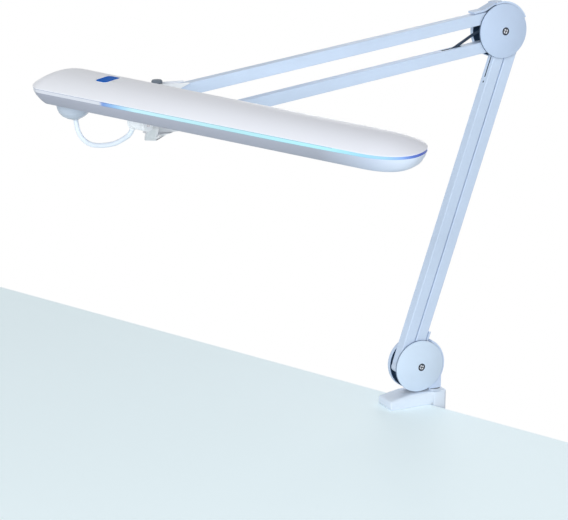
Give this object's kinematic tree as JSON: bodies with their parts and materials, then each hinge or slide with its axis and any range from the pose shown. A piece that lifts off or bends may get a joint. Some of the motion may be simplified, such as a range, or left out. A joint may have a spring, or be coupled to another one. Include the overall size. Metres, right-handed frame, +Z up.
{
  "type": "clamp desk lamp",
  "caption": "Desk lamp on a table clamp: two arms of parallel square tubes between round housings, and a long slim head that swivels and tilts, with an edge-lit rim.",
  "frame": {"origin": "underside of the clamp's upper jaw, where the axis of the clamp screw meets it; the table top's upper face touches it there", "axes": "+Z up, square to the table top; +X from the clamp's open side to its column, and the elbow leans that way; the arms work in the X-Z plane at Y = 0; +Y away from the side with the domed caps"},
  "size_m": [0.6086, 0.486, 0.8118],
  "materials": {
    "powder_coat": "satin",
    "arm_tube": "satin",
    "head_shell": "satin",
    "rim_clear": "gloss",
    "frost": "matte",
    "bright_steel": "polished",
    "black_rubber": "matte",
    "dark_plastic": "matte",
    "pale_plastic": "gloss",
    "cord_sheath": "satin",
    "button_blue": "gloss",
    "board": "matte"
  },
  "bodies": {
    "clamp": {"clamp_frame": "powder_coat", "swivel_bush": "dark_plastic", "strain_relief": "cord_sheath", "mains_lead": "cord_sheath", "lead_coil": "cord_sheath", "coil_tie": "black_rubber", "lead_tail": "cord_sheath", "plug_body": "cord_sheath", "plug_pins": "bright_steel"},
    "pad": {"clamp_pad": "bright_steel", "pad_rubber": "black_rubber"},
    "screw": {"clamp_screw": "bright_steel", "tommy_bar": "bright_steel", "tommy_knobs": "dark_plastic"},
    "base": {"base_strap": "powder_coat", "base_spindle": "bright_steel", "base_drum": "powder_coat", "base_plate": "powder_coat", "base_cap": "powder_coat", "base_screw": "bright_steel", "base_pins": "bright_steel"},
    "lower_left": {"left_bar": "arm_tube", "left_bar_plugs": "pale_plastic", "left_bar_cord": "cord_sheath"},
    "lower_right": {"right_bar": "arm_tube", "right_bar_plugs": "pale_plastic"},
    "elbow": {"elbow_strap": "powder_coat", "elbow_drum": "powder_coat", "elbow_plate": "powder_coat", "elbow_cap": "powder_coat", "elbow_screw": "bright_steel", "elbow_pins": "bright_steel"},
    "upper_top": {"top_bar": "arm_tube", "top_bar_plugs": "pale_plastic"},
    "upper_bottom": {"bottom_bar": "arm_tube", "bottom_bar_plugs": "pale_plastic", "arm_cord": "cord_sheath"},
    "arm_end": {"end_bracket": "powder_coat", "end_pins": "bright_steel"},
    "yoke": {"yoke": "pale_plastic", "head_spindle": "bright_steel", "barrel_cap": "dark_plastic"},
    "head": {"head_tray": "head_shell", "head_cover": "head_shell", "rim_light": "rim_clear", "diffuser": "frost", "led_board": "board", "driver_box": "dark_plastic", "hinge_ears": "pale_plastic", "hinge_pin": "bright_steel", "tray_screws": "bright_steel", "cord_cap": "pale_plastic", "switch_box": "dark_plastic", "head_cord": "cord_sheath"},
    "button": {"button": "button_blue"}
  },
  "joints": [
    {"name": "screw_turn", "type": "hinge", "parent": "pad", "child": "screw", "pos_m": [0, 0, 0], "axis": [0, 0, 1], "range_deg": [-8500, 1400]},
    {"name": "pad_slide", "type": "slide", "parent": "clamp", "child": "pad", "axis": [0, 0, 1], "range_m": [-0.047, 0.0077]},
    {"name": "base_swivel", "type": "hinge", "parent": "clamp", "child": "base", "pos_m": [0.041, 0, 0.0165], "axis": [0, 0, 1], "range_deg": [-170, 170]},
    {"name": "lower_arm_lean", "type": "hinge", "parent": "base", "child": "lower_left", "pos_m": [-0.00867, 0, 0.04935], "axis": [0, 1, 0], "range_deg": [-75, 1]},
    {"name": "right_bar_follow", "type": "hinge", "parent": "base", "child": "lower_right", "pos_m": [0.01265, 0, 0.0643], "axis": [0, 1, 0], "range_deg": [-75, 1]},
    {"name": "elbow_level", "type": "hinge", "parent": "lower_left", "child": "elbow", "pos_m": [0.12663, 0, 0.44907], "axis": [0, 1, 0], "range_deg": [-1, 75]},
    {"name": "upper_arm_lift", "type": "hinge", "parent": "elbow", "child": "upper_top", "pos_m": [0.10828, 0, 0.48037], "axis": [0, 1, 0], "range_deg": [-55, 1], "deforming": ["arm_cord"]},
    {"name": "bottom_bar_follow", "type": "hinge", "parent": "elbow", "child": "upper_bottom", "pos_m": [0.10828, 0, 0.44538], "axis": [0, 1, 0], "range_deg": [-55, 1]},
    {"name": "arm_end_level", "type": "hinge", "parent": "upper_top", "child": "arm_end", "pos_m": [-0.30864, 0, 0.41509], "axis": [0, 1, 0], "range_deg": [-1, 55]},
    {"name": "head_turn", "type": "hinge", "parent": "arm_end", "child": "yoke", "pos_m": [-0.32364, 0, 0.37229], "axis": [0, 0, 1], "range_deg": [-90, 60]},
    {"name": "head_tilt", "type": "hinge", "parent": "yoke", "child": "head", "pos_m": [-0.36498, -0.05525, 0.39369], "axis": [0.4079, -0.912, -0.0436], "range_deg": [-20, 20]},
    {"name": "button_press", "type": "slide", "parent": "head", "child": "button", "axis": [0.1299, 0.1053, -0.9859], "range_m": [0, 0.0015], "stiffness_N_per_m": 600, "springref_m": -0.001}
  ],
  "couplings": [
    {"joint": "screw_turn", "follows": "pad_slide", "rad_per_m": 3141.6},
    {"joint": "right_bar_follow", "follows": "lower_arm_lean", "ratio": 1},
    {"joint": "elbow_level", "follows": "lower_arm_lean", "ratio": -1},
    {"joint": "bottom_bar_follow", "follows": "upper_arm_lift", "ratio": 1},
    {"joint": "arm_end_level", "follows": "upper_arm_lift", "ratio": -1}
  ]
}
